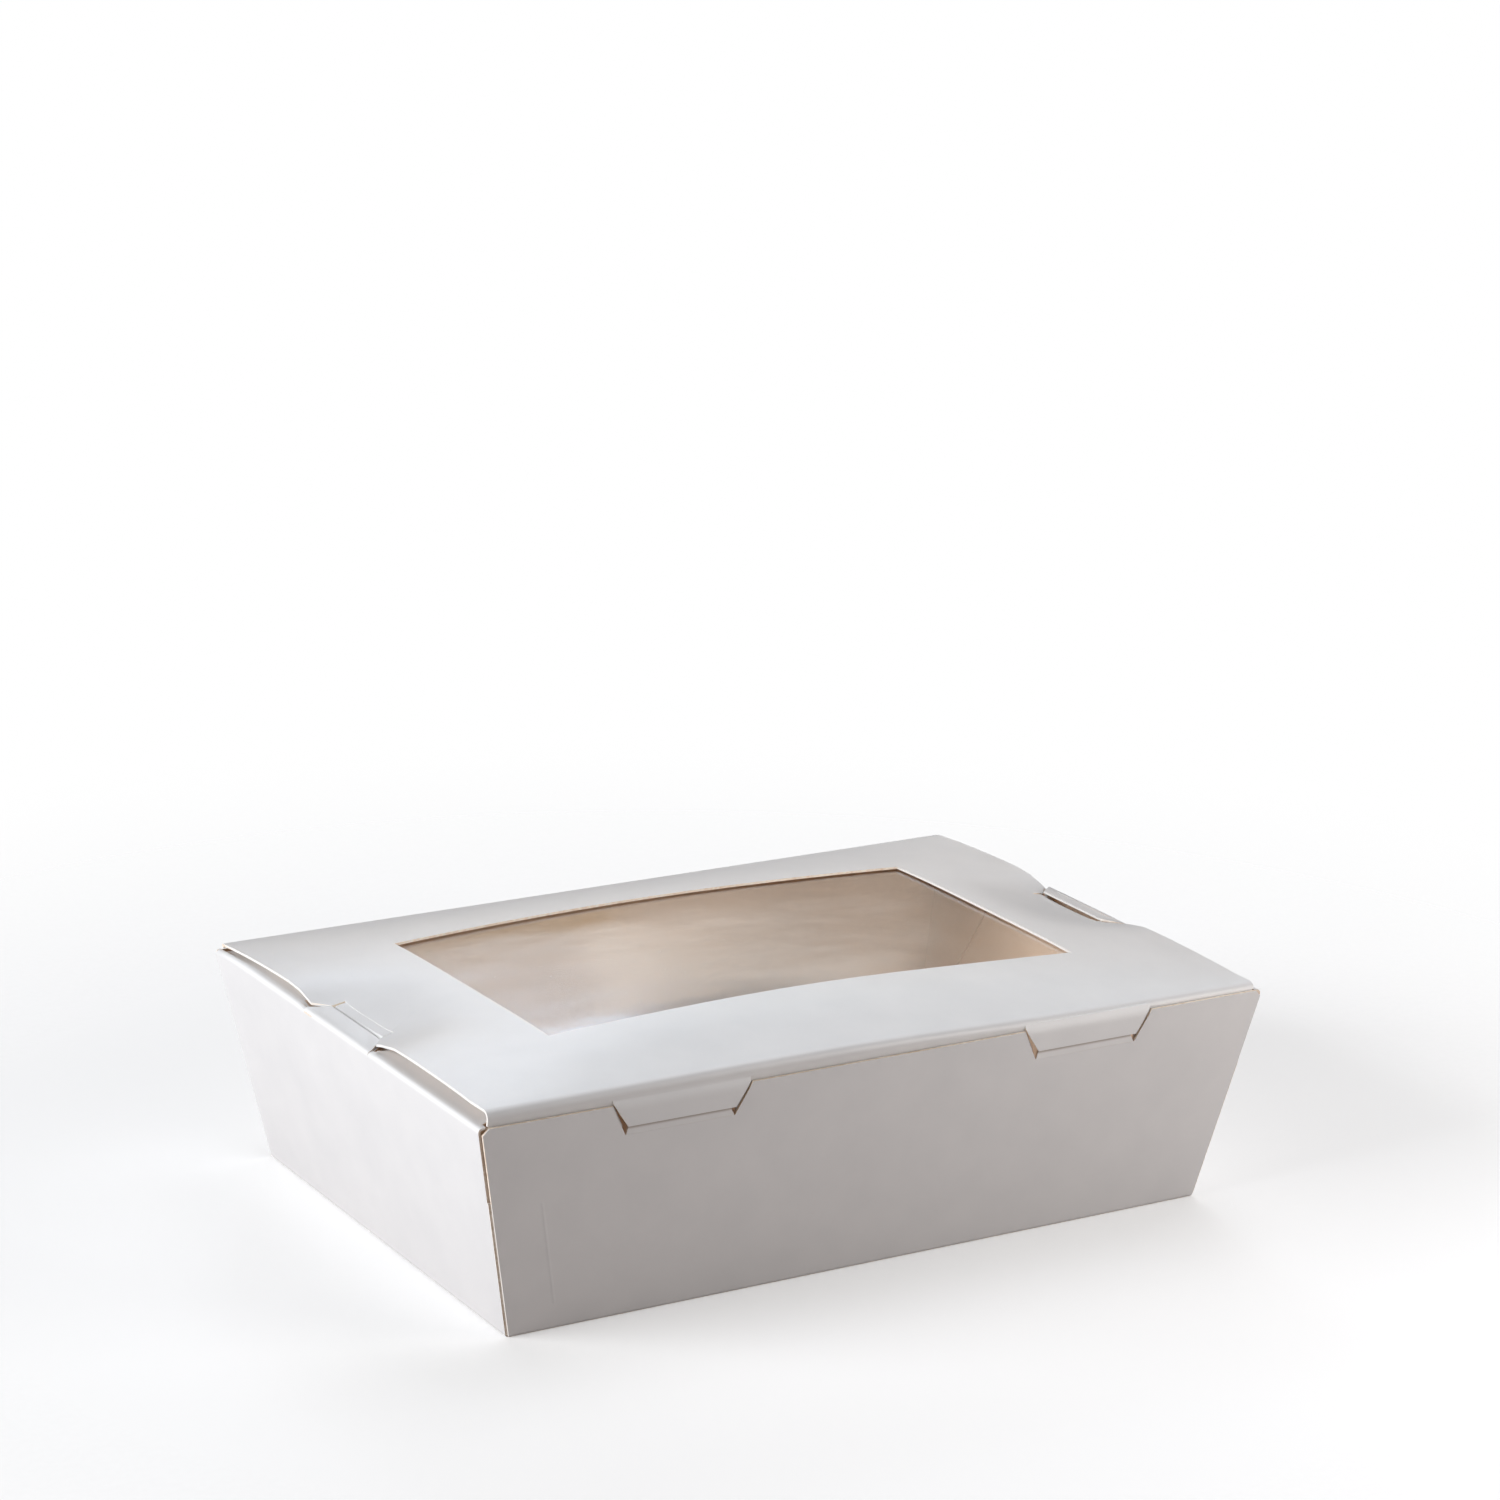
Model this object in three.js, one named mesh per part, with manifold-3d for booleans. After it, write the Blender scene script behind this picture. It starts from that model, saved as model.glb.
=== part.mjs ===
// Window lunch box: a tapered tray and its hinged lid, folded from white board, with a clear
// film window under the lid. Millimetres, +Z up. The origin is the middle of the base's
// underside, +X runs along the front, and +Y runs to the hinge at the back.
import * as THREE from "three";
import { mergeVertices } from "three/addons/utils/BufferGeometryUtils.js";
import Module from "manifold-3d";

const wasm = await Module();
wasm.setup();

// Tray
const rimLength = 180; // between the side walls' top folds
const rimWidth = 120; // between the front and back walls at the rim
const sideTaper = 9.8; // each side wall leans out by this much
const frontTaper = 7; // so do the front and back walls
const wallHeight = 46; // top edge of the front wall
const board = 0.5; // thickness of the board
const creaseRadius = 0.9; // outside of a folded crease
const clearance = 0.3; // between faces that lie together
const weld = 0.05; // how far glued layers are let into each other

// Tray corners
const cornerSetback = 0.5; // the front wall's cut end, back from the corner
const cornerChamfer = 1.6; // the front wall's clipped top corner
const frontTabHeight = 30; // the front glue tabs stop here and leave room for the tuck flap
const frontTabWidth = 10.5;
const backTabDrop = 4.6; // the back glue tabs stop this far under the rim
const backTabAngle = 33; // degrees between a back tab's slanted edge and the corner

// Side flaps, folded in under the lid
const sideFlapDepth = 18;
const sideFlapRise = 0.15; // slope up towards the lid
const sideFlapGap = 0.8; // under the lid where the flap comes near it
const flapLip = 1; // margin round the side tab's hole where the flap keeps the fold's height
const sideFlapEndGap = 2.2; // from the rim's corner to the flap's end
const sideFlapTaper = 7; // how much shorter each end is at the flap's free edge

// Lid
const lidSetback = 2; // from the rim's side edge to the lid's
const hingeRise = 0.25; // top of the hinge crease over the rim
const frontRise = 1.8; // mean height of the front fold over the rim
const frontTwist = 0.85; // the front fold lies higher at the left and lower at the right
const twistPlace = 18; // along X, where the twist turns over
const twistSpread = 25;
const crownHeight = 5.4; // how far the lid bows up over its four edges
const crownAtSides = 0.25; // share of the bow that is left at the side edges
const lidFoldRadius = 1.6;
const beadRadius = 0.45; // rounded crease at the hinge

// Tuck flap, inside the front wall
const tuckEndGap = 0.4; // from the lid's side edge to the flap's end
const tuckShoulder = 2; // full length down to here, under the rim
const tuckTaper = 8; // how much shorter each end is at the bottom
const tuckCornerRadius = 4;

// Window
const windowLength = 122;
const windowWidth = 67;
const windowShift = 1; // towards the hinge
const filmMargin = 7.5;
const filmThickness = 0.15;

// Slit locks: a tab on one panel lies over a tongue cut in the edge of the other
const frontLock = { spread: 46.6, mouth: 30.6, root: 24, depth: 6.5, reach: 4.6, end: 23.6 };
const sideLock = { shift: 2.2, mouth: 29.4, root: 21.8, depth: 5.6, reach: 4.8, end: 21.6 };
const slit = 0.4; // open width of a slit beside a tongue
const frontTongueTip = 17.6; // width at the free edge
const frontTonguePush = [0.62, 0.95]; // how far the lid's tab pushes it in, at bend and tip
const frontTonguePushHeight = 1.8; // from its root to the bend
const frontTabProud = 0.2; // the lid's tab stands this far out of the front wall
const sideTabRise = 0.7; // the side tab's free edge over the rim
const dipDepth = 3; // how far a side tab holds the lid's edge down
const dipReach = 22; // from the side edge to where the dip starts
const dipHalfWidth = 17;
const tonguePress = 1.3; // the side tongue's extra dip under its tab
const tonguePressRun = 2.5;

// Derived places
const baseLength = rimLength - 2 * sideTaper;
const baseWidth = rimWidth - 2 * frontTaper;
const lidLength = rimLength - 2 * lidSetback;
const sideSlope = sideTaper / wallHeight;
const frontSlope = frontTaper / wallHeight;
const frontLean = Math.atan(frontSlope);
const sideLean = Math.atan(sideSlope);
const lidHalf = lidLength / 2;
const rimHalf = rimLength / 2;
const tabEdge = rimHalf - sideLock.reach; // the side tab's free edge
const tongueRoot = lidHalf - sideLock.depth;
const hinge = {
  y: rimWidth / 2 - beadRadius,
  z: wallHeight + hingeRise - beadRadius,
};
const flapFoldEdge = lidHalf + clearance + weld; // where a side flap leaves its fold
const flapCutFrom = wallHeight - 9 * board; // cuts in the side flaps stay clear of the walls
const backWallTop = hinge.z - beadRadius - clearance;
const tuckBottom = frontTabHeight + clearance + weld;
const beyond = 20; // how far cutting tools run past the board
const inset = 0.04; // a tab or tongue is let into its panel by this much less than the board

const smoothstep = THREE.MathUtils.smoothstep;
const lerp = THREE.MathUtils.lerp;

// Outer faces of the tapered walls
const sideFace = (z) => baseLength / 2 + sideSlope * z;
const frontFace = (z) => -(baseWidth / 2 + frontSlope * z);
const backFace = (z) => baseWidth / 2 + frontSlope * z;

// Evenly spaced values from low to high
function spaced(low, high, steps) {
  return Array.from({ length: steps + 1 }, (_, i) => lerp(low, high, i / steps));
}

// A closed body from a geometry that holds only positions
function toSolid(geometry) {
  const bare = geometry.clone();
  for (const name of Object.keys(bare.attributes)) {
    if (name !== "position") bare.deleteAttribute(name);
  }
  const merged = mergeVertices(bare, 1e-5);
  return new wasm.Manifold(
    new wasm.Mesh({
      numProp: 3,
      vertProperties: new Float32Array(merged.attributes.position.array),
      triVerts: new Uint32Array(merged.index.array),
    }),
  );
}

function toMesh(name, solid, look) {
  const data = solid.getMesh();
  const geometry = new THREE.BufferGeometry();
  geometry.setAttribute("position", new THREE.BufferAttribute(data.vertProperties.slice(), 3));
  geometry.setIndex(new THREE.BufferAttribute(data.triVerts.slice(), 1));
  geometry.computeVertexNormals();
  const mesh = new THREE.Mesh(geometry, new THREE.MeshStandardMaterial(look));
  mesh.name = name;
  return mesh;
}

function join(solids) {
  return solids.reduce((whole, next) => whole.add(next));
}

// An outline pushed along one axis. Plan outlines hold [x, y], front ones [x, z] and side
// ones [y, z].
const prismAxes = {
  plan: [new THREE.Vector3(1, 0, 0), new THREE.Vector3(0, 1, 0), new THREE.Vector3(0, 0, 1)],
  front: [new THREE.Vector3(1, 0, 0), new THREE.Vector3(0, 0, 1), new THREE.Vector3(0, -1, 0)],
  side: [new THREE.Vector3(0, 1, 0), new THREE.Vector3(0, 0, 1), new THREE.Vector3(1, 0, 0)],
};

function prism(view, outline, from, to) {
  const shape = Array.isArray(outline)
    ? new THREE.Shape(outline.map(([u, v]) => new THREE.Vector2(u, v)))
    : outline;
  const geometry = new THREE.ExtrudeGeometry(shape, {
    depth: to - from,
    bevelEnabled: false,
    curveSegments: 5,
  });
  geometry.translate(0, 0, from);
  geometry.applyMatrix4(new THREE.Matrix4().makeBasis(...prismAxes[view]));
  return toSolid(geometry);
}

// A sheet of board between two grids of points: place(row, column) gives [outer, inner]
function sheet(rows, columns, place) {
  const outer = [];
  const inner = [];
  for (let r = 0; r < rows; r++) {
    for (let c = 0; c < columns; c++) {
      const [top, under] = place(r, c);
      outer.push(...top);
      inner.push(...under);
    }
  }
  const count = rows * columns;
  const at = (r, c) => r * columns + c;
  const index = [];
  const quad = (a, b, c, d) => index.push(a, b, c, a, c, d);
  for (let r = 0; r + 1 < rows; r++) {
    for (let c = 0; c + 1 < columns; c++) {
      const corners = [at(r, c), at(r + 1, c), at(r + 1, c + 1), at(r, c + 1)];
      quad(...corners);
      quad(...corners.reverse().map((i) => i + count));
    }
    const last = columns - 1;
    quad(at(r + 1, 0), at(r, 0), at(r, 0) + count, at(r + 1, 0) + count);
    quad(at(r, last), at(r + 1, last), at(r + 1, last) + count, at(r, last) + count);
  }
  for (let c = 0; c + 1 < columns; c++) {
    const last = rows - 1;
    quad(at(0, c), at(0, c + 1), at(0, c + 1) + count, at(0, c) + count);
    quad(at(last, c + 1), at(last, c), at(last, c) + count, at(last, c + 1) + count);
  }
  const points = [...outer, ...inner];
  if (signedVolume(points, index) < 0) index.reverse();
  const geometry = new THREE.BufferGeometry();
  geometry.setAttribute("position", new THREE.Float32BufferAttribute(points, 3));
  geometry.setIndex(index);
  return toSolid(geometry);
}

function signedVolume(points, index) {
  const corner = (i) => new THREE.Vector3().fromArray(points, 3 * index[i]);
  let volume = 0;
  for (let i = 0; i < index.length; i += 3) {
    volume += corner(i).dot(corner(i + 1).cross(corner(i + 2)));
  }
  return volume;
}

// The section of a folded sheet. path holds the outer face's corners as {u, v, radius}, with
// the inside of the fold on the left of the path. Each result is a pair of [u, v] points, one
// on the outer face and one on the inner face.
function foldedSection(path, { depth = board, start = 0, arcSteps = 4 } = {}) {
  const normals = path.slice(1).map((point, i) => {
    const along = new THREE.Vector2(point.u - path[i].u, point.v - path[i].v).normalize();
    return new THREE.Vector2(along.y, -along.x);
  });
  const pairs = [];
  path.forEach((point, i) => {
    const before = normals[Math.max(i - 1, 0)];
    const after = normals[Math.min(i, normals.length - 1)];
    const corner = new THREE.Vector2(point.u, point.v);
    const mitre = before.clone().add(after).divideScalar(1 + before.dot(after));
    const radius = point.radius || 0;
    const centre = corner.clone().addScaledVector(mitre, -radius);
    const turn = before.cross(after);
    const steps = radius ? arcSteps : 0;
    for (let s = 0; s <= steps; s++) {
      const share = steps ? s / steps : 0;
      const angle = Math.atan2(turn, before.dot(after)) * share;
      const way = radius ? before.clone().rotateAround(new THREE.Vector2(), angle) : mitre;
      pairs.push([start, start + depth].map((level) => {
        const spot = centre.clone().addScaledVector(way, radius - level);
        return [spot.x, spot.y];
      }));
    }
  });
  return pairs;
}

// How far the side locks hold the lid's edges down
function lidDip(x, y) {
  const inward = Math.max(0, (Math.abs(x) - (lidHalf - dipReach)) / dipReach);
  const along = (y - sideLock.shift) / dipHalfWidth;
  return dipDepth * inward ** 1.2 * Math.exp(-(along ** 4));
}

// Top face of the bowed lid
function lidTop(x, y) {
  const toFront = (hinge.y - y) / (2 * hinge.y);
  const foldRise = frontRise - frontTwist * Math.tanh((x - twistPlace) / twistSpread);
  const level = wallHeight + lerp(hingeRise, foldRise, toFront);
  const across = 1 - (1 - crownAtSides) * (x / lidHalf) ** 2;
  const along = 1 - Math.abs(y / hinge.y) ** 4;
  return level + crownHeight * across * along - lidDip(x, y);
}

// Top face of the side tongues, pressed down under their tabs
function tongueTop(x, y) {
  const pressed = smoothstep(Math.abs(x), tongueRoot, tongueRoot + tonguePressRun);
  return lidTop(x, y) - tonguePress * pressed;
}

// Half the width of the notch that a side tab sits in, at a distance from the middle
function sideNotchHalf(x) {
  const tabHalf = sideLock.end / 2 + clearance;
  if (x > tabEdge) {
    return lerp(tabHalf, sideLock.mouth / 2, (x - tabEdge) / (lidHalf - tabEdge));
  }
  return lerp(sideLock.root / 2, tabHalf, (x - tongueRoot) / (tabEdge - tongueRoot));
}

// Outline of the notch beside one side tab, in plan
function sideNotch(side) {
  const steps = [lidHalf + 1, tabEdge, tongueRoot];
  const upper = steps.map((x) => [side * x, sideLock.shift + sideNotchHalf(x)]);
  const lower = steps.map((x) => [side * x, sideLock.shift - sideNotchHalf(x)]);
  return side > 0 ? [...upper, ...lower.reverse()] : [...lower, ...upper.reverse()];
}

// Outline of a notch in the front wall, in front view
function frontNotch(middle) {
  const bottom = wallHeight - frontLock.depth;
  return [
    [middle - frontLock.mouth / 2, wallHeight],
    [middle - frontLock.root / 2, bottom],
    [middle + frontLock.root / 2, bottom],
    [middle + frontLock.mouth / 2, wallHeight],
    [middle + frontLock.mouth / 2, wallHeight + 1],
    [middle - frontLock.mouth / 2, wallHeight + 1],
  ];
}

// Top face of a side flap: it rises from its fold until it meets the lid's underside. Beside
// the fold, where the side tab leaves it, it keeps the fold's height.
function sideFlapTop(x, y) {
  const free = wallHeight + sideFlapRise * (rimHalf - Math.abs(x));
  const place = Math.abs(y - sideLock.shift);
  const besideFold = Math.abs(x) > tabEdge + flapLip;
  if (besideFold && place < sideLock.mouth / 2 - 2 * flapLip) return free;
  const underTongue = place < dipHalfWidth && !besideFold;
  const lidFace = underTongue ? tongueTop(x, y) : lidTop(x, y);
  return Math.min(free, lidFace - board - sideFlapGap);
}

// Front wall, base and back wall as one folded strip
function frontToBackStrip() {
  const path = [
    { u: frontFace(wallHeight), v: wallHeight },
    { u: frontFace(0), v: 0, radius: creaseRadius },
    { u: backFace(0), v: 0, radius: creaseRadius },
    { u: backFace(backWallTop), v: backWallTop },
  ];
  const section = foldedSection(path);
  const ends = [-rimHalf, rimHalf];
  let strip = sheet(ends.length, section.length, (r, c) =>
    section[c].map(([y, z]) => [ends[r], y, z]));
  for (const side of [-1, 1]) {
    strip = strip.subtract(wallEndCutter(side, cornerSetback, -beyond - rimWidth / 2, 0));
    strip = strip.subtract(wallEndCutter(side, board - weld, 0, beyond + rimWidth / 2));
    strip = strip.subtract(prism("front", frontNotch(side * frontLock.spread), 0, rimWidth));
    strip = strip.subtract(cornerClip(side));
  }
  return strip;
}

// Trims a wall's end to the taper of the side walls, between two distances along Y
function wallEndCutter(side, setback, from, to) {
  const top = wallHeight + beyond;
  const outline = [
    [side * (sideFace(-beyond) - setback), -beyond],
    [side * (rimHalf + beyond), -beyond],
    [side * (rimHalf + beyond), top],
    [side * (sideFace(top) - setback), top],
  ];
  return prism("front", side > 0 ? outline : outline.reverse(), -to, -from);
}

// Clips a top corner of the front wall, where the side fold's cut end shows
function cornerClip(side) {
  const corner = rimHalf - cornerSetback;
  const outline = [
    [side * (corner - cornerChamfer), wallHeight + weld],
    [side * (corner + weld), wallHeight - cornerChamfer],
    [side * (rimHalf + 1), wallHeight + weld],
  ];
  return prism("front", side > 0 ? outline : outline.reverse(), 0, rimWidth);
}

// Side flaps, side walls and base as one folded strip
function sideToSideStrip() {
  const flapSteps = spaced(rimHalf - sideFlapDepth, lidHalf, 6);
  const rows = spaced(-rimWidth / 2, rimWidth / 2, 30);
  const halfPath = (side, y) => [
    ...flapSteps.map((x) => ({ u: side * x, v: sideFlapTop(side * x, y) })),
    { u: side * sideFace(wallHeight), v: wallHeight, radius: creaseRadius },
    { u: side * sideFace(0), v: 0, radius: creaseRadius },
  ];
  const sections = rows.map((y) =>
    foldedSection([...halfPath(-1, y), ...halfPath(1, y).reverse()]));
  let strip = sheet(rows.length, sections[0].length, (r, c) =>
    sections[r][c].map(([x, z]) => [x, rows[r], z]));
  strip = strip.intersect(prism("side", sideWallOutline(), -rimLength, rimLength));
  for (const side of [-1, 1]) {
    strip = strip.subtract(sideFlapEnds(side));
    strip = strip.subtract(prism("plan", sideTabHole(side), flapCutFrom, wallHeight + beyond));
  }
  return strip;
}

// Side walls in side view: they butt against the front wall and wrap the back one
function sideWallOutline() {
  const top = wallHeight + beyond;
  const glued = board - weld;
  const open = board + clearance;
  return [
    [frontFace(-1) + glued, -1],
    [backFace(-1) - weld, -1],
    [backFace(top) - weld, top],
    [frontFace(top) + open, top],
    [frontFace(frontTabHeight) + open, frontTabHeight],
    [frontFace(frontTabHeight) + glued, frontTabHeight],
  ];
}

// Cuts both slanted ends off a side flap
function sideFlapEnds(side) {
  const outer = flapFoldEdge;
  const inner = rimHalf - sideFlapDepth;
  const end = rimWidth / 2 - sideFlapEndGap;
  const far = rimWidth / 2 + beyond;
  const cutters = [-1, 1].map((way) => {
    const outline = [
      [side * outer, way * end],
      [side * (inner - 1), way * (end - sideFlapTaper)],
      [side * (inner - 1), way * far],
      [side * outer, way * far],
    ];
    const turned = side * way > 0 ? outline.reverse() : outline;
    return prism("plan", turned, flapCutFrom, wallHeight + beyond);
  });
  return join(cutters);
}

// The hole that a side tab leaves in its flap, in plan
function sideTabHole(side) {
  const reach = tabEdge - clearance;
  const mouthHalf = sideLock.mouth / 2 + 2 * clearance;
  const endHalf = sideLock.end / 2 + 3 * clearance;
  const outline = [
    [side * flapFoldEdge, sideLock.shift + mouthHalf],
    [side * reach, sideLock.shift + endHalf],
    [side * reach, sideLock.shift - endHalf],
    [side * flapFoldEdge, sideLock.shift - mouthHalf],
  ];
  return side > 0 ? outline : outline.reverse();
}

// A side tab: it folds in with the flap and lies over the lid's tongue
function sideTab(side) {
  const start = wallHeight - 3;
  const path = [
    { u: sideFace(start), v: start },
    { u: sideFace(wallHeight), v: wallHeight, radius: creaseRadius },
    { u: tabEdge, v: wallHeight + sideTabRise },
  ];
  const section = foldedSection(path, { depth: board - 2 * inset, start: inset });
  const rootHalf = sideLock.mouth / 2 - clearance;
  const rows = spaced(-1, 1, 4);
  return sheet(rows.length, section.length, (r, c) => {
    const half = c === section.length - 1 ? sideLock.end / 2 : rootHalf;
    return section[c].map(([x, z]) => [side * x, sideLock.shift + rows[r] * half, z]);
  });
}

// A tongue of the front wall, pushed in by the lid's tab
function frontTongue(middle) {
  const root = wallHeight - frontLock.depth;
  const [bendPush, tipPush] = frontTonguePush;
  const stations = [
    { z: root - 1, push: inset, width: frontLock.root - slit },
    { z: root, push: inset, width: frontLock.root - slit },
    { z: root + frontTonguePushHeight, push: bendPush, width: frontLock.root - 2 },
    { z: wallHeight - clearance, push: tipPush, width: frontTongueTip },
  ];
  const ends = [-0.5, 0.5];
  return sheet(stations.length, ends.length, (r, c) => {
    const { z, push, width } = stations[r];
    const x = middle + ends[c] * width;
    return [push, push + board - 2 * inset].map((level) => insideFront(x, z, level));
  });
}

// A point behind the front wall's outer face, measured square to it
function insideFront(x, z, level) {
  return [x, frontFace(z) + level * Math.cos(frontLean), z + level * Math.sin(frontLean)];
}

// A front glue tab: it carries on from the side wall, behind the front wall
function frontGlueTab(side) {
  const low = 2.5;
  const lean = 3; // the tab's ends are cut at a slant
  const outer = (z) => sideFace(z) - board / 2;
  const outline = [
    [side * outer(low), low],
    [side * outer(frontTabHeight), frontTabHeight],
    [side * (outer(frontTabHeight) - frontTabWidth), frontTabHeight - lean],
    [side * (outer(low) - frontTabWidth), low + lean],
  ];
  const layer = [
    insideFront(0, 0, board - weld),
    insideFront(0, wallHeight, board - weld),
    insideFront(0, wallHeight, 2 * board),
    insideFront(0, 0, 2 * board),
  ].map(([, y, z]) => [y, z]);
  const plate = prism("side", layer.reverse(), -rimLength, rimLength);
  return plate.intersect(prism("front", side > 0 ? outline : outline.reverse(), 0, rimWidth));
}

// A back glue tab: it carries on from the back wall, on the side wall's inner face, and its
// free edge slants up from the bottom corner
function backGlueTab(side) {
  const top = wallHeight - backTabDrop;
  const slant = Math.tan(THREE.MathUtils.degToRad(backTabAngle) - frontLean);
  const low = 1;
  const outline = [
    [backFace(low) - board / 2, low],
    [backFace(top) - board / 2, top],
    [backFace(0) - slant * top, top],
    [backFace(0) - board - slant * low, low],
  ];
  const level = (distance, z) => [
    side * (sideFace(z) - distance * Math.cos(sideLean)),
    z + distance * Math.sin(sideLean),
  ];
  const layer = [
    level(board - weld, 0),
    level(board - weld, wallHeight),
    level(2 * board, wallHeight),
    level(2 * board, 0),
  ];
  const plate = prism("front", side > 0 ? layer : layer.reverse(), -rimWidth, rimWidth);
  return plate.intersect(prism("side", outline, -rimLength, rimLength));
}

function makeTray() {
  const pieces = [frontToBackStrip(), sideToSideStrip()];
  for (const side of [-1, 1]) {
    pieces.push(frontGlueTab(side), backGlueTab(side));
    pieces.push(frontTongue(side * frontLock.spread), sideTab(side));
  }
  return join(pieces);
}

// Columns of the lid's grid, closer together where its side edges are bent
function lidColumns() {
  const inner = lidHalf - dipReach - 2;
  const right = spaced(inner, lidHalf, 6);
  const middle = spaced(-inner, inner, 14).slice(1, -1);
  return [...right.map((x) => -x).reverse(), ...middle, ...right];
}

// The lid's section at one x: the bowed panel, the front fold and the tuck flap
function lidSection(x) {
  const tuckLevel = board + clearance;
  const nearFront = frontFace(wallHeight) + tuckLevel + lidFoldRadius;
  const foldTop = lidTop(x, nearFront);
  const centreZ = foldTop - lidFoldRadius;
  const centre = insideFront(x, centreZ, tuckLevel + lidFoldRadius);
  const pairs = spaced(hinge.y, centre[1], 22).slice(0, -1).map((y) => {
    const z = lidTop(x, y);
    return [[x, y, z], [x, y, z - board]];
  });
  for (const angle of spaced(Math.PI / 2, Math.PI + frontLean, 5)) {
    pairs.push([lidFoldRadius, lidFoldRadius - board].map((radius) => [
      x,
      centre[1] + radius * Math.cos(angle),
      centre[2] + radius * Math.sin(angle),
    ]));
  }
  pairs.push([tuckLevel, tuckLevel + board].map((level) => insideFront(x, tuckBottom, level)));
  return pairs;
}

function lidPanel() {
  const sections = lidColumns().map(lidSection);
  return sheet(sections.length, sections[0].length, (r, c) => sections[r][c]);
}

// Everything in front view that is cut away beside and under the tuck flap
function tuckTrim(side) {
  const end = lidHalf - tuckEndGap;
  const shoulder = wallHeight - tuckShoulder;
  const low = end - tuckTaper;
  const shape = new THREE.Shape();
  shape.moveTo(side * end, wallHeight + frontRise - lidFoldRadius);
  shape.lineTo(side * end, shoulder);
  shape.lineTo(side * low, tuckBottom + tuckCornerRadius);
  shape.quadraticCurveTo(side * low, tuckBottom, side * (low - tuckCornerRadius), tuckBottom);
  shape.lineTo(side * (low - tuckCornerRadius), tuckBottom - beyond);
  shape.lineTo(side * (end + beyond), tuckBottom - beyond);
  shape.lineTo(side * (end + beyond), wallHeight + frontRise - lidFoldRadius);
  return prism("front", shape, rimWidth / 2 - beyond / 2, rimWidth);
}

// The hole that a front tab leaves in the tuck flap, with room for the wall's tongue
function frontTabHole(middle) {
  const half = frontLock.mouth / 2 - clearance;
  const low = frontLock.root / 2 + slit;
  const top = wallHeight + slit;
  const outline = [
    [middle - half, top],
    [middle - low, wallHeight - frontLock.reach],
    [middle - low, wallHeight - frontLock.depth - clearance],
    [middle + low, wallHeight - frontLock.depth - clearance],
    [middle + low, wallHeight - frontLock.reach],
    [middle + half, top],
  ];
  return prism("front", outline, rimWidth / 2 - beyond / 2, rimWidth);
}

// A front tab: it leaves the tuck flap at the rim and hangs outside the wall's tongue
function frontTab(middle) {
  const tuckLevel = board + clearance;
  const free = wallHeight - frontLock.reach;
  const stations = [
    { z: wallHeight + 1, level: tuckLevel + inset, width: frontLock.mouth - 2 * clearance },
    { z: wallHeight + 0.5, level: tuckLevel * 0.7, width: frontLock.mouth - 2 * clearance },
    { z: wallHeight, level: tuckLevel * 0.3, width: frontLock.mouth - 3 * clearance },
    { z: wallHeight - 1.5, level: 0.05, width: lerp(frontLock.mouth, frontLock.end, 0.4) },
    { z: free, level: -frontTabProud, width: frontLock.end },
  ];
  const ends = [-0.5, 0.5];
  return sheet(stations.length, ends.length, (r, c) => {
    const { z, level, width } = stations[r];
    const x = middle + ends[c] * width;
    return [level, level + board - 2 * inset].map((depth) => insideFront(x, z, depth));
  });
}

// A tongue in the lid's side edge, dipping under the side tab
function sideTongue(side) {
  const stations = [tongueRoot - 1, ...spaced(tongueRoot, tabEdge, 4), (tabEdge + lidHalf) / 2];
  stations.push(lidHalf);
  const rows = spaced(-1, 1, 8);
  return sheet(stations.length, rows.length, (r, c) => {
    const x = stations[r];
    const half = sideNotchHalf(Math.max(x, tongueRoot)) - slit;
    const y = sideLock.shift + rows[c] * half;
    const z = tongueTop(side * x, y) - inset;
    return [[side * x, y, z], [side * x, y, z - board + 2 * inset]];
  });
}

function hingeBead() {
  const bead = new THREE.CylinderGeometry(beadRadius, beadRadius, lidLength, 12);
  bead.rotateZ(Math.PI / 2);
  bead.translate(0, hinge.y, hinge.z);
  return toSolid(bead);
}

function makeLid() {
  let lid = lidPanel().add(hingeBead());
  const opening = [
    [-windowLength / 2, windowShift - windowWidth / 2],
    [windowLength / 2, windowShift - windowWidth / 2],
    [windowLength / 2, windowShift + windowWidth / 2],
    [-windowLength / 2, windowShift + windowWidth / 2],
  ];
  lid = lid.subtract(prism("plan", opening, wallHeight - beyond, wallHeight + beyond));
  for (const side of [-1, 1]) {
    lid = lid.subtract(tuckTrim(side));
    lid = lid.subtract(frontTabHole(side * frontLock.spread));
    lid = lid.subtract(prism("plan", sideNotch(side), wallHeight - beyond, wallHeight + beyond));
  }
  for (const side of [-1, 1]) {
    lid = lid.add(frontTab(side * frontLock.spread)).add(sideTongue(side));
  }
  return lid;
}

// The clear film, laid under the lid round the window
function makeFilm() {
  const columns = spaced(-1, 1, 20).map((share) => share * (windowLength / 2 + filmMargin));
  const rows = spaced(-1, 1, 14).map((share) => windowShift + share * (windowWidth / 2 + filmMargin));
  return sheet(columns.length, rows.length, (r, c) => {
    const top = lidTop(columns[r], rows[c]) - board - clearance;
    return [
      [columns[r], rows[c], top],
      [columns[r], rows[c], top - filmThickness],
    ];
  });
}

const white = { color: 0xf2f2f3, roughness: 0.42, metalness: 0 };
const clear = { color: 0xf7f8f8, roughness: 0.05, metalness: 0, transparent: true, opacity: 0.2 };

const lunchBox = new THREE.Group();
lunchBox.add(toMesh("tray", makeTray(), white));
const lidGroup = new THREE.Group();
lidGroup.add(toMesh("lid", makeLid(), white));
lidGroup.add(toMesh("window_film", makeFilm(), clear));
lunchBox.add(lidGroup);

export default lunchBox;
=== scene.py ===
"""Looks of the window lunch box: white coated board with a kraft inside, and a clear film."""

import math

import bmesh
import bpy
from mathutils import Matrix, Vector
from mathutils.bvhtree import BVHTree


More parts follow.
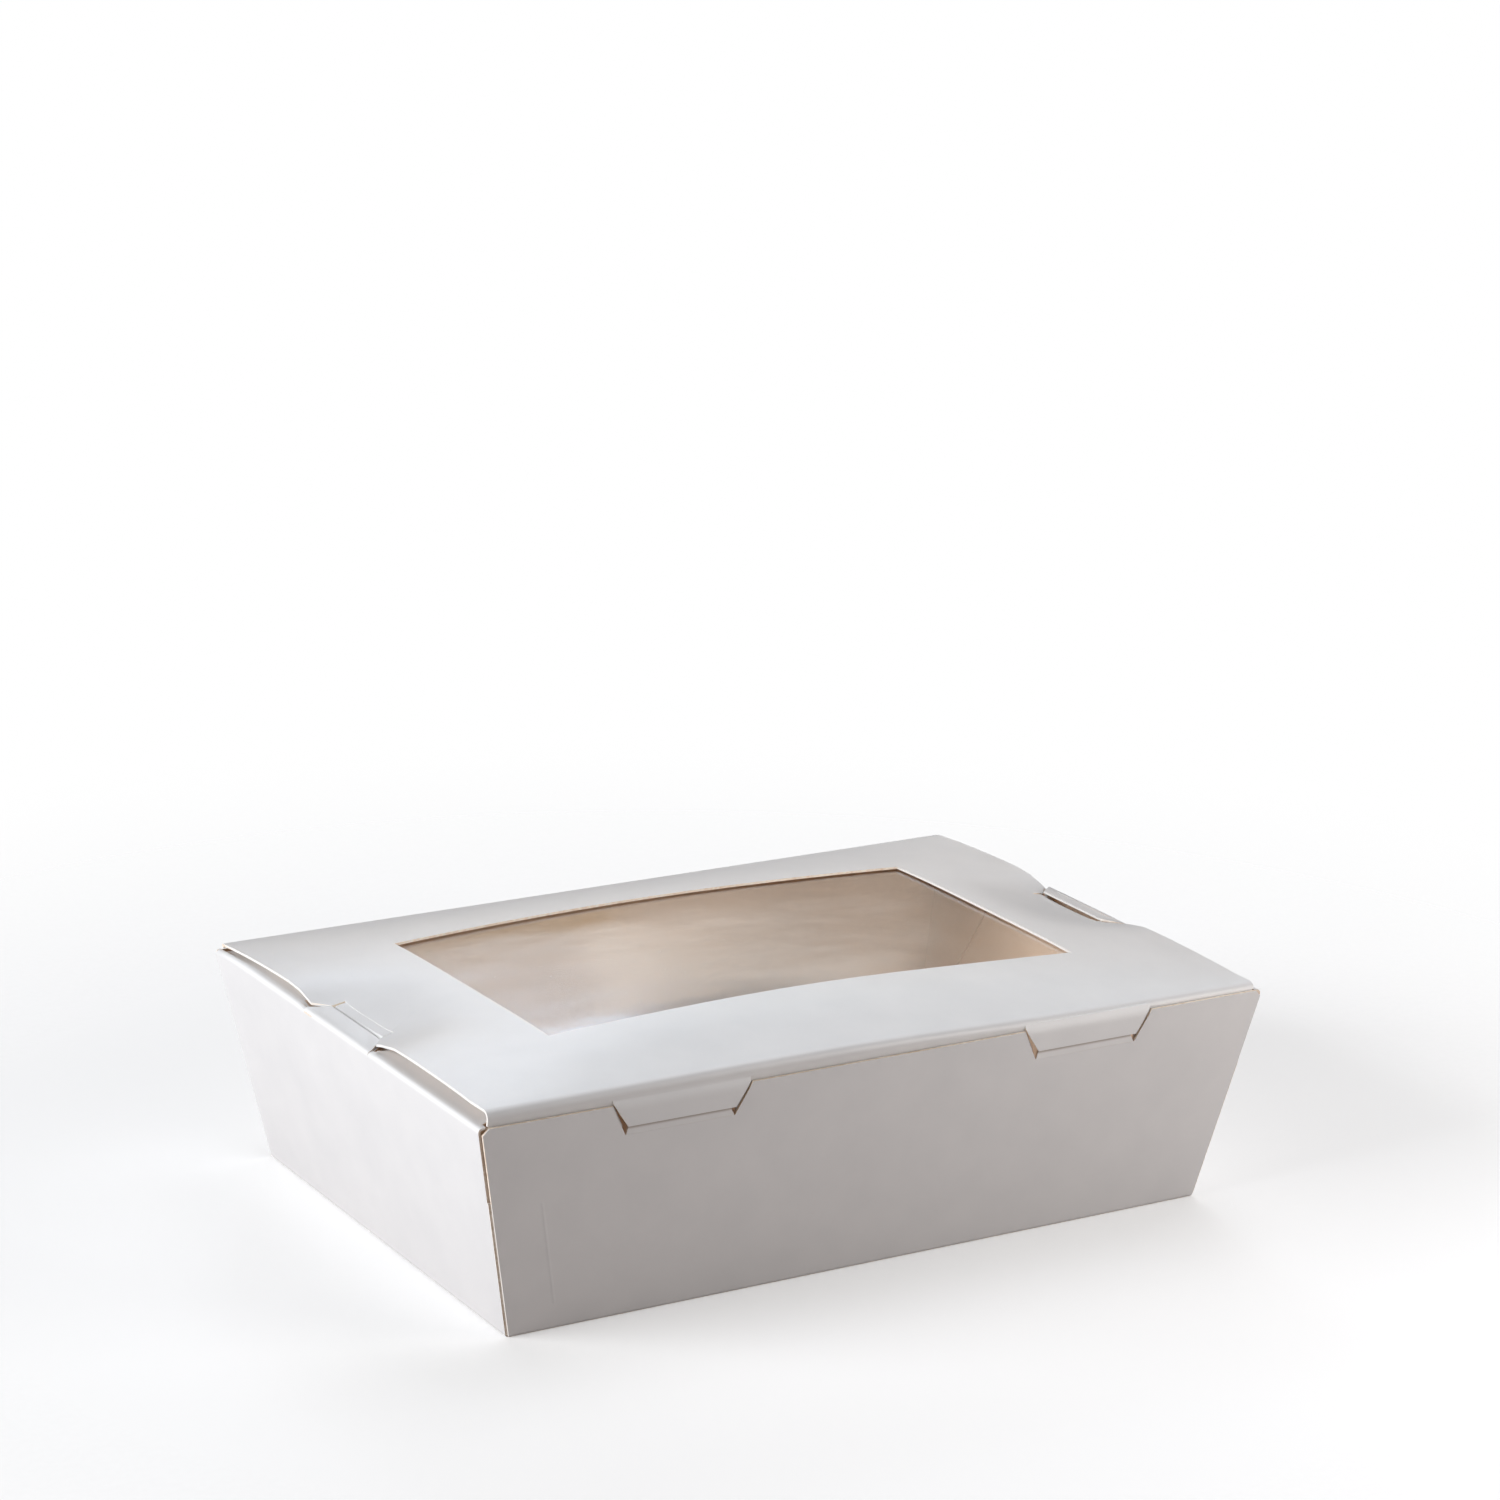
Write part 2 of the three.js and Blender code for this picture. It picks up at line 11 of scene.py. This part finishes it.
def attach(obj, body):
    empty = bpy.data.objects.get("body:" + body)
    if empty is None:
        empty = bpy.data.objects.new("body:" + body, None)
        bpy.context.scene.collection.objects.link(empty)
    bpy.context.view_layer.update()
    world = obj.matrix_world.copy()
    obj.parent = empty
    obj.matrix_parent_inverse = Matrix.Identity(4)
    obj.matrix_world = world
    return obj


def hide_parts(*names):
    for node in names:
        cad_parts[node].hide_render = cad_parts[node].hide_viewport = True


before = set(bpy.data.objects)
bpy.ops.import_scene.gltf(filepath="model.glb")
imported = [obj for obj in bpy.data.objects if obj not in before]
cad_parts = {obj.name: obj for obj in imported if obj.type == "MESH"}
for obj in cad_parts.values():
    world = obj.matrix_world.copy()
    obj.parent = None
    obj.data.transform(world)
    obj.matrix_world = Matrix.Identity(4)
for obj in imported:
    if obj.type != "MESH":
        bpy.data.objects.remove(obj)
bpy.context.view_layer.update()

# Lengths are metres in the CAD's frame: +X right along the front, +Y to the hinge, +Z up.

# Telling the board's outside, inside and cut edges apart
BOX_MIDDLE = Vector((0, 0, 0.023))
THIN_LOW, THIN_HIGH = 0.0001, 0.0012  # one or two layers of board, measured through
RAY_START, RAY_REACH = 1e-5, 0.01
OUTSIDE, INSIDE, CUT = 0, 1, 2
SAME_POINT = 1e-6
SHARP_ANGLE = math.radians(30)

# Side locks: the lid's tongues and the free edges of the tray's tabs
LOCK_Y = 0.0022
TONGUE_ROOT, TAB_EDGE, TONGUE_HALF = 0.0824, 0.0852, 0.0108
TONGUE_PRESS, TONGUE_RUN = 0.0013, 0.0025
TONGUE_END, END_SHARE = 0.0004, 0.3  # the last stretch before the tab's edge, raised less
TAB_EDGE_SLACK = 0.0001

# Front tabs, and the front wall's outer face that they lie on
FRONT_TAB_SPREAD, FRONT_TAB_HALF = 0.0466, 0.016
FRONT_TAB_TOP, FRONT_TAB_DROP, FRONT_TAB_LIFT = 0.0458, 0.0044, 0.0003
FRONT_FOOT, FRONT_SLOPE, FRONT_SLACK = 0.053, 7 / 46, 0.0006

# Coated side of the board
COAT_DARK, COAT_LIGHT = (0.755, 0.757, 0.765), (0.80, 0.80, 0.805)
# The first colour is a painted highlight along the side folds, the second a painted shadow beneath
# the front tabs
FOLD_HIGHLIGHT_COLOUR, TAB_SHADOW_COLOUR = (0.885, 0.885, 0.885, 1), (0.36, 0.30, 0.26, 1)

# Lines on it: the start, the end, and how far from the line it has faded out
LOCK_CREASE = ((-0.0824, -0.0075, 0.0478), (-0.0746, -0.0023, 0.0492), 0.0006)
WALL_CREASE = ((-0.0706, -0.0540, 0.006), (-0.0752, -0.0572, 0.028), 0.0005)
# Painted highlight: pale lines along the folds at the top of the side walls
SIDE_FOLD_HIGHLIGHTS = [
    ((side * 0.0897, -0.0597, 0.0457), (side * 0.0897, 0.0597, 0.0457), 0.0011)
    for side in (-1, 1)
]
# Painted shadow: thin dark lines on the front wall, just beneath the lower edges of the lid's front
# tabs
TAB_SHADOW_LINES = [
    ((middle - 0.0114, -0.0589, 0.041), (middle + 0.0114, -0.0589, 0.041), 0.0007)
    for middle in (-FRONT_TAB_SPREAD, FRONT_TAB_SPREAD)
]

# Inside of the board
KRAFT_DARK, KRAFT_LIGHT = (0.68, 0.505, 0.365), (0.83, 0.65, 0.495)
SPECK_LEVEL = 0.72

# Cut edges of the board
# The last colour is a painted highlight on cut edges that face sideways
CORE_DARK, CORE_LIGHT, CUT_HIGHLIGHT_COLOUR = (0.70, 0.56, 0.43), (0.90, 0.82, 0.72), (0.88, 0.87, 0.85, 1)
FRONT_TAB_END, LID_LEVEL = 0.0298, 0.0462  # cuts that face sideways are brown between these, and carry a painted highlight outside them
BACK_EDGE_GLOW = 0.3  # painted glow on the window's back cut edge, standing in for light that the thin lid passes on to it

# Film
FILM_IOR, FILM_ROUGHNESS = 1.5, 0.18
INNER_SHEEN = 0.15  # how much of the top side's mirroring the inner side keeps
DUST_LEVEL, DUST_SHARE, HAZE_SHARE = 0.875, 0.3, 0.06

# Floor and surroundings
FLOOR_SIZE, FADE_START, FADE_END = 8, 0.13, 0.34
FLOOR_DARK, FLOOR_LIGHT = (0.77, 0.77, 0.77), (0.785, 0.785, 0.785)
FLOOR_LIFT = 0.32  # brightness that only the camera sees
FLOOR_BOUNCE = (0.46, 0.41, 0.39, 1)  # the floor's colour for everything but the camera
WORLD_STRENGTH, WORLD_COLOUR = 0.04, (1, 0.93, 0.86, 1)

# Lights behind the box that the film mirrors: place, power and colour
GLOW_AIM, GLOW_WIDTH, GLOW_HEIGHT = (0, 0, 0.05), 0.24, 0.2
GLOWS = [
    ((0.93, 1.07, 0.351), 0.0966, (1, 0.752, 0.528)),
    ((0.894, 1.028, 0.546), 0.132, (1, 0.696, 0.429)),
    ((0.832, 0.957, 0.753), 0.549, (0.837, 0.95, 1)),
    ((0.741, 1.209, 0.351), 0.143, (1, 0.773, 0.567)),
    ((0.712, 1.162, 0.546), 0.391, (1, 0.932, 0.84)),
    ((0.663, 1.081, 0.753), 0.217, (0.446, 0.769, 1)),
    ((0.531, 1.315, 0.351), 0.102, (1, 0.547, 0)),
    ((0.51, 1.263, 0.546), 0.285, (1, 0.966, 0.911)),
    ((0.475, 1.176, 0.753), 1.37, (0.818, 0.886, 1)),
]

# The other lights: name, place, aim, width, height, power and colour
LAMPS = [
    ("key", (-1.6, 0.24, 0.53), (0, 0, 0.03), 1.28, 1.12, 36.2, (0.966, 0.979, 1)),
    ("right_fill", (0.36, -0.38, 0.17), (0.07, -0.05, 0.03), 0.3, 0.3, 1.49, (1, 0.962, 0.936)),
    ("top", (0.5, 0.3, 1.1), (0, 0, 0.05), 0.8, 0.8, 4.99, (0.958, 0.961, 1)),
]

# Camera, solved from the box's corners in the photo
CAMERA_AT = Vector((-0.4445, -0.7431, 0.3396))
CAMERA_AZIMUTH, CAMERA_ELEVATION = math.radians(-31.0), math.radians(15.928)
CAMERA_ROLL = math.radians(1.513)
CAMERA_LENS, CAMERA_SENSOR = 106.68, 36  # millimetres


def add(tree, kind, inputs=None, **attributes):
    """A new node. Its inputs are constants or sockets of other nodes."""
    made = tree.nodes.new(kind)
    for name, value in attributes.items():
        setattr(made, name, value)
    for name, value in (inputs or {}).items():
        if isinstance(value, bpy.types.NodeSocket):
            tree.links.new(value, made.inputs[name])
        else:
            made.inputs[name].default_value = value
    return made


def new_material(name):
    made = bpy.data.materials.new(name)
    made.use_nodes = True
    made.node_tree.nodes.clear()
    return made, made.node_tree


def output(tree, shader):
    add(tree, "ShaderNodeOutputMaterial", {"Surface": shader.outputs[0]})


def object_place(tree):
    return add(tree, "ShaderNodeTexCoord").outputs["Object"]


def parts_of(tree, vector):
    """The sockets X, Y and Z of a vector."""
    return add(tree, "ShaderNodeSeparateXYZ", {0: vector}).outputs


def math_node(tree, operation, first, second=0.0, third=0.0, clamp=False):
    made = add(tree, "ShaderNodeMath", {0: first, 1: second, 2: third}, operation=operation)
    made.use_clamp = clamp
    return made.outputs[0]


def vector_node(tree, operation, inputs, result="Vector"):
    return add(tree, "ShaderNodeVectorMath", inputs, operation=operation).outputs[result]


def smooth_step(tree, value, low, high, at_low, at_high):
    """Runs softly from one value to the other between low and high."""
    inputs = {"From Min": low, "From Max": high, "To Min": at_low, "To Max": at_high}
    inputs["Value"] = value
    made = add(tree, "ShaderNodeMapRange", inputs, interpolation_type="SMOOTHSTEP")
    return made.outputs[0]


def noise(tree, scale, detail=3.0, stretch=(1, 1, 1), turn=(0, 0, 0), seed=(0, 0, 0)):
    """Noise in object space. Scale counts features per metre."""
    inputs = {"Vector": object_place(tree), "Location": seed, "Rotation": turn, "Scale": stretch}
    placed = add(tree, "ShaderNodeMapping", inputs).outputs[0]
    inputs = {"Vector": placed, "Scale": scale, "Detail": detail}
    return add(tree, "ShaderNodeTexNoise", inputs).outputs[0]


def ramp(tree, value, *stops):
    """Colours blended along a value. Each stop is a place and a colour."""
    made = add(tree, "ShaderNodeValToRGB", {0: value})
    for element, (place, colour) in zip(made.color_ramp.elements, stops):
        element.position = place
        element.color = (*colour, 1)
    return made.outputs[0]


def mix_colour(tree, share, first, second):
    return add(tree, "ShaderNodeMixRGB", {0: share, 1: first, 2: second}).outputs[0]


def mix_shader(tree, share, first, second):
    inputs = {0: share, 1: first.outputs[0], 2: second.outputs[0]}
    return add(tree, "ShaderNodeMixShader", inputs)


def line_mark(tree, start, end, width):
    """1 on a straight line between two points, 0 away from it. Points are in object space."""
    start, end = Vector(start), Vector(end)
    along = (end - start).normalized()
    from_start = vector_node(tree, "SUBTRACT", {0: object_place(tree), 1: tuple(start)})
    reach = vector_node(tree, "DOT_PRODUCT", {0: from_start, 1: tuple(along)}, "Value")
    limits = {"Value": reach, "Min": 0.0, "Max": (end - start).length}
    held = add(tree, "ShaderNodeClamp", limits).outputs[0]
    nearest = vector_node(tree, "SCALE", {0: tuple(along), "Scale": held})
    away = vector_node(tree, "DISTANCE", {0: from_start, 1: nearest}, "Value")
    return smooth_step(tree, away, 0.0, width, 1.0, 0.0)


def pair_of_marks(tree, marks):
    """1 on either of two lines."""
    return math_node(tree, "MAXIMUM", *(line_mark(tree, *mark) for mark in marks))


def bump(tree, height, distance, strength=1.0, normal=None):
    inputs = {"Height": height, "Distance": distance, "Strength": strength}
    if normal is not None:
        inputs["Normal"] = normal
    return add(tree, "ShaderNodeBump", inputs).outputs[0]


def principled(tree, colour, roughness, normal, **others):
    inputs = {"Base Color": colour, "Roughness": roughness, "Normal": normal}
    made = add(tree, "ShaderNodeBsdfPrincipled", inputs)
    for name, value in others.items():
        made.inputs[name.replace("_", " ").title()].default_value = value
    return made


def white_board():
    """Coated board: satin, faintly mottled, with a fine surface and a few lines, among them a
    painted highlight along the side folds and painted shadow beneath the front tabs.
    """
    made, tree = new_material("white_board")
    mottle = noise(tree, 90, 4)
    grain = noise(tree, 2600, 2, seed=(3, 1, 0))
    wave = noise(tree, 28, 2, seed=(1, 4, 2))
    creased = pair_of_marks(tree, (LOCK_CREASE, WALL_CREASE))
    tone = math_node(tree, "MULTIPLY_ADD", creased, -0.16, mottle)
    plain = ramp(tree, tone, (0.25, COAT_DARK), (0.75, COAT_LIGHT))
    # Painted highlight along the side folds
    fold_lit = mix_colour(tree, pair_of_marks(tree, SIDE_FOLD_HIGHLIGHTS), plain, FOLD_HIGHLIGHT_COLOUR)
    # Painted shadow beneath the front tabs' lower edges
    colour = mix_colour(tree, pair_of_marks(tree, TAB_SHADOW_LINES), fold_lit, TAB_SHADOW_COLOUR)
    roughness = math_node(tree, "MULTIPLY_ADD", grain, 0.22, 0.3)
    soft = bump(tree, wave, 0.00035, 0.5)
    fine = bump(tree, grain, 0.00002, 0.35, soft)
    pressed = bump(tree, creased, 0.0001, 0.6, fine)
    output(tree, principled(tree, colour, roughness, pressed, coat_weight=0.25, coat_roughness=0.3))
    return made


def kraft():
    """Brown uncoated inside with long fibres and specks."""
    made, tree = new_material("kraft_inside")
    fibres = noise(tree, 1500, 3, stretch=(0.4, 1, 1), turn=(0, 0, 0.3))
    clouds = noise(tree, 45, 4, seed=(2, 5, 1))
    specks = noise(tree, 1500, 1, seed=(7, 2, 3))
    blend = math_node(tree, "MULTIPLY_ADD", fibres, 0.55, math_node(tree, "MULTIPLY", clouds, 0.45))
    dots = math_node(tree, "GREATER_THAN", specks, SPECK_LEVEL)
    tone = math_node(tree, "MULTIPLY_ADD", dots, -0.22, blend)
    colour = ramp(tree, tone, (0.32, KRAFT_DARK), (0.66, KRAFT_LIGHT))
    roughness = math_node(tree, "MULTIPLY_ADD", clouds, 0.2, 0.6)
    output(tree, principled(tree, colour, roughness, bump(tree, fibres, 0.00005, 0.5)))
    return made


def cut_edge():
    """Cut edges: a brown core, a painted highlight on most cuts that face sideways, and a painted
    glow on the window's back edge.
    """
    made, tree = new_material("cut_edge")
    layers = noise(tree, 1400, 2, seed=(1, 1, 5))
    patches = noise(tree, 160, 2)
    tone = math_node(tree, "MULTIPLY_ADD", layers, 0.6, math_node(tree, "MULTIPLY", patches, 0.4))
    core = ramp(tree, tone, (0.32, CORE_DARK), (0.66, CORE_LIGHT))
    facing = parts_of(tree, add(tree, "ShaderNodeNewGeometry").outputs["Normal"])
    place = parts_of(tree, object_place(tree))
    sideways = math_node(tree, "ABSOLUTE", facing["X"])
    low = math_node(tree, "LESS_THAN", place["Z"], FRONT_TAB_END)
    high = math_node(tree, "GREATER_THAN", place["Z"], LID_LEVEL)
    # Painted highlight: sideways cuts turn pale below the front tabs' end and on the lid
    cut_highlight = math_node(tree, "MULTIPLY", sideways, math_node(tree, "MAXIMUM", low, high))
    share = math_node(tree, "MULTIPLY", cut_highlight, 0.85, clamp=True)
    colour = mix_colour(tree, share, core, CUT_HIGHLIGHT_COLOUR)
    roughness = math_node(tree, "MULTIPLY_ADD", patches, 0.2, 0.65)
    shader = principled(tree, colour, roughness, bump(tree, layers, 0.00006, 0.6))
    # Painted glow: the window's back cut edge emits light in place of light passed through the thin
    # lid
    forward = math_node(tree, "MULTIPLY", facing["Y"], -1.0, clamp=True)
    window_back = math_node(tree, "MULTIPLY", forward, high)
    painted_glow = math_node(tree, "MULTIPLY", window_back, BACK_EDGE_GLOW)
    tree.links.new(core, shader.inputs["Emission Color"])
    tree.links.new(painted_glow, shader.inputs["Emission Strength"])
    output(tree, shader)
    return made


def clear_film():
    """Thin clear film: it shows what lies behind and mirrors more at flat angles."""
    made, tree = new_material("clear_film")
    ripple = noise(tree, 38, 2, stretch=(1, 1.6, 1))
    haze = noise(tree, 70, 3, seed=(4, 4, 4))
    specks = noise(tree, 1500, 0, seed=(9, 3, 6))
    normal = bump(tree, ripple, 0.0006, 0.35)
    mirrored = add(tree, "ShaderNodeFresnel", {"IOR": FILM_IOR, "Normal": normal}).outputs[0]
    from_behind = add(tree, "ShaderNodeNewGeometry").outputs["Backfacing"]
    from_front = math_node(tree, "SUBTRACT", 1.0, from_behind)
    upward = parts_of(tree, add(tree, "ShaderNodeTexCoord").outputs["Normal"])["Z"]
    top_side = math_node(tree, "GREATER_THAN", upward, 0.0)
    sheen = math_node(tree, "MULTIPLY_ADD", top_side, 1 - INNER_SHEEN, INNER_SHEEN)
    facing = math_node(tree, "MULTIPLY", from_front, sheen)
    share = math_node(tree, "MULTIPLY", mirrored, facing, clamp=True)
    clear = add(tree, "ShaderNodeBsdfTransparent", {"Color": (0.985, 0.985, 0.985, 1)})
    milky = add(tree, "ShaderNodeBsdfDiffuse", {"Color": (0.9, 0.9, 0.9, 1)})
    dust = math_node(tree, "GREATER_THAN", specks, DUST_LEVEL)
    veil = math_node(tree, "MULTIPLY", haze, HAZE_SHARE)
    body = mix_shader(tree, math_node(tree, "MULTIPLY_ADD", dust, DUST_SHARE, veil), clear, milky)
    gloss = principled(tree, (0.97, 0.97, 0.97, 1), FILM_ROUGHNESS, normal, metallic=1.0)
    output(tree, mix_shader(tree, share, body, gloss))
    return made


def sort_faces(made):
    """Gives each face its material index: outside, inside or cut edge."""
    tree = BVHTree.FromBMesh(made)
    for face in made.faces:
        centre = face.calc_center_median()
        hit = tree.ray_cast(centre - face.normal * RAY_START, -face.normal, RAY_REACH)
        thin = hit[0] is not None and THIN_LOW < hit[3] < THIN_HIGH
        if not thin:
            face.material_index = CUT
        elif face.normal.dot(centre - BOX_MIDDLE) > 0:
            face.material_index = OUTSIDE
        else:
            face.material_index = INSIDE


def soften(made):
    """Smooth faces, with sharp edges at folds, cuts and changes of material."""
    for face in made.faces:
        face.smooth = True
    for edge in made.edges:
        faces = edge.link_faces
        if len(faces) != 2:
            edge.smooth = False
            continue
        same = faces[0].material_index == faces[1].material_index
        edge.smooth = same and edge.calc_face_angle(0.0) < SHARP_ANGLE


def raise_tongues(made):
    """Brings the lid's side tongues up against the edges of the tabs that hold them."""
    for vert in made.verts:
        out = abs(vert.co.x)
        at_lock = abs(vert.co.y - LOCK_Y) < TONGUE_HALF
        if at_lock and TONGUE_ROOT < out < TAB_EDGE + TAB_EDGE_SLACK:
            share = min((out - TONGUE_ROOT) / TONGUE_RUN, 1)
            rise = TONGUE_PRESS * share * share * (3 - 2 * share)
            vert.co.z += rise if out < TAB_EDGE - TONGUE_END else END_SHARE * rise


def lift_front_tabs(made):
    """Brings the free edges of the lid's front tabs a little way out of the front wall."""
    for vert in made.verts:
        low = FRONT_TAB_TOP - vert.co.z
        off_middle = abs(abs(vert.co.x) - FRONT_TAB_SPREAD)
        wall = -FRONT_FOOT - FRONT_SLOPE * vert.co.z
        if low > 0 and off_middle < FRONT_TAB_HALF and vert.co.y < wall + FRONT_SLACK:
            vert.co.y -= FRONT_TAB_LIFT * min(low / FRONT_TAB_DROP, 1)


def dress(node, body, materials, shapers=()):
    """A looks piece that stands for a CAD node. Several materials are dealt out by face."""
    made = bmesh.new()
    made.from_mesh(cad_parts[node].data)
    bmesh.ops.remove_doubles(made, verts=made.verts, dist=SAME_POINT)
    for shape in shapers:
        shape(made)
    made.normal_update()
    if len(materials) > 1:
        sort_faces(made)
    soften(made)
    mesh = bpy.data.meshes.new(node + "_look")
    made.to_mesh(mesh)
    made.free()
    for material in materials:
        mesh.materials.append(material)
    piece = bpy.data.objects.new(node + "_look", mesh)
    bpy.context.scene.collection.objects.link(piece)
    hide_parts(node)
    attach(piece, body)


def lay_floor():
    """A pale floor that keeps the box's shadow and fades out away from the box."""
    made, tree = new_material("floor")
    away = vector_node(tree, "LENGTH", {0: object_place(tree)}, "Value")
    fade = smooth_step(tree, away, FADE_START, FADE_END, 0.0, 1.0)
    seen = add(tree, "ShaderNodeLightPath").outputs["Is Camera Ray"]
    colour = ramp(tree, noise(tree, 600, 2), (0.3, FLOOR_DARK), (0.7, FLOOR_LIGHT))
    shade = mix_colour(tree, seen, FLOOR_BOUNCE, colour)
    matte = add(tree, "ShaderNodeBsdfDiffuse", {"Color": shade})
    lift = math_node(tree, "MULTIPLY", seen, FLOOR_LIFT)
    glow = add(tree, "ShaderNodeEmission", {"Color": (1, 1, 1, 1), "Strength": lift})
    lifted = add(tree, "ShaderNodeAddShader", {0: matte.outputs[0], 1: glow.outputs[0]})
    open_floor = add(tree, "ShaderNodeBsdfTransparent")
    share = math_node(tree, "MULTIPLY", fade, seen)
    output(tree, mix_shader(tree, share, lifted, open_floor))
    bpy.ops.mesh.primitive_plane_add(size=FLOOR_SIZE, location=(0, 0, 0))
    floor = bpy.context.object
    floor.name = "floor"
    floor.data.materials.append(made)


def soft_light(name, at, aim, width, height, power, colour):
    lamp = bpy.data.lights.new(name, "AREA")
    lamp.shape = "RECTANGLE"
    lamp.size, lamp.size_y = width, height
    lamp.energy = power
    lamp.color = colour
    placed = bpy.data.objects.new(name, lamp)
    placed.location = at
    placed.rotation_euler = (Vector(aim) - Vector(at)).to_track_quat("-Z", "Y").to_euler()
    bpy.context.scene.collection.objects.link(placed)


def light_world():
    """Faint warm light from all round, and plain white where the camera sees past the floor."""
    world = bpy.data.worlds.new("studio")
    bpy.context.scene.world = world
    world.use_nodes = True
    tree = world.node_tree
    tree.nodes.clear()
    inputs = {"Color": WORLD_COLOUR, "Strength": WORLD_STRENGTH}
    lit = add(tree, "ShaderNodeBackground", inputs)
    white = add(tree, "ShaderNodeBackground", {"Color": (1, 1, 1, 1), "Strength": 1.0})
    seen = add(tree, "ShaderNodeLightPath").outputs["Is Camera Ray"]
    mixed = mix_shader(tree, seen, lit, white)
    add(tree, "ShaderNodeOutputWorld", {"Surface": mixed.outputs[0]})


def aim_camera():
    lens = bpy.data.cameras.new("camera")
    lens.sensor_width = CAMERA_SENSOR
    lens.lens = CAMERA_LENS
    lens.clip_start, lens.clip_end = 0.01, 30
    back = Vector((
        math.sin(CAMERA_AZIMUTH) * math.cos(CAMERA_ELEVATION),
        -math.cos(CAMERA_AZIMUTH) * math.cos(CAMERA_ELEVATION),
        math.sin(CAMERA_ELEVATION),
    ))
    right = Vector((0, 0, 1)).cross(back).normalized()
    up = back.cross(right)
    turned_right = math.cos(CAMERA_ROLL) * right + math.sin(CAMERA_ROLL) * up
    turned_up = math.cos(CAMERA_ROLL) * up - math.sin(CAMERA_ROLL) * right
    camera = bpy.data.objects.new("camera", lens)
    turn = Matrix((turned_right, turned_up, back)).transposed().to_4x4()
    camera.matrix_world = Matrix.Translation(CAMERA_AT) @ turn
    bpy.context.scene.collection.objects.link(camera)
    bpy.context.scene.camera = camera


board_looks = [white_board(), kraft(), cut_edge()]
dress("tray", "tray", board_looks)
dress("lid", "lid", board_looks, shapers=(raise_tongues, lift_front_tabs))
dress("window_film", "lid", [clear_film()])

lay_floor()
light_world()
for number, (place, power, colour) in enumerate(GLOWS, 1):
    soft_light(f"glow_{number}", place, GLOW_AIM, GLOW_WIDTH, GLOW_HEIGHT, power, colour)
for lamp in LAMPS:
    soft_light(*lamp)
aim_camera()
bpy.context.scene.view_settings.view_transform = "Standard"
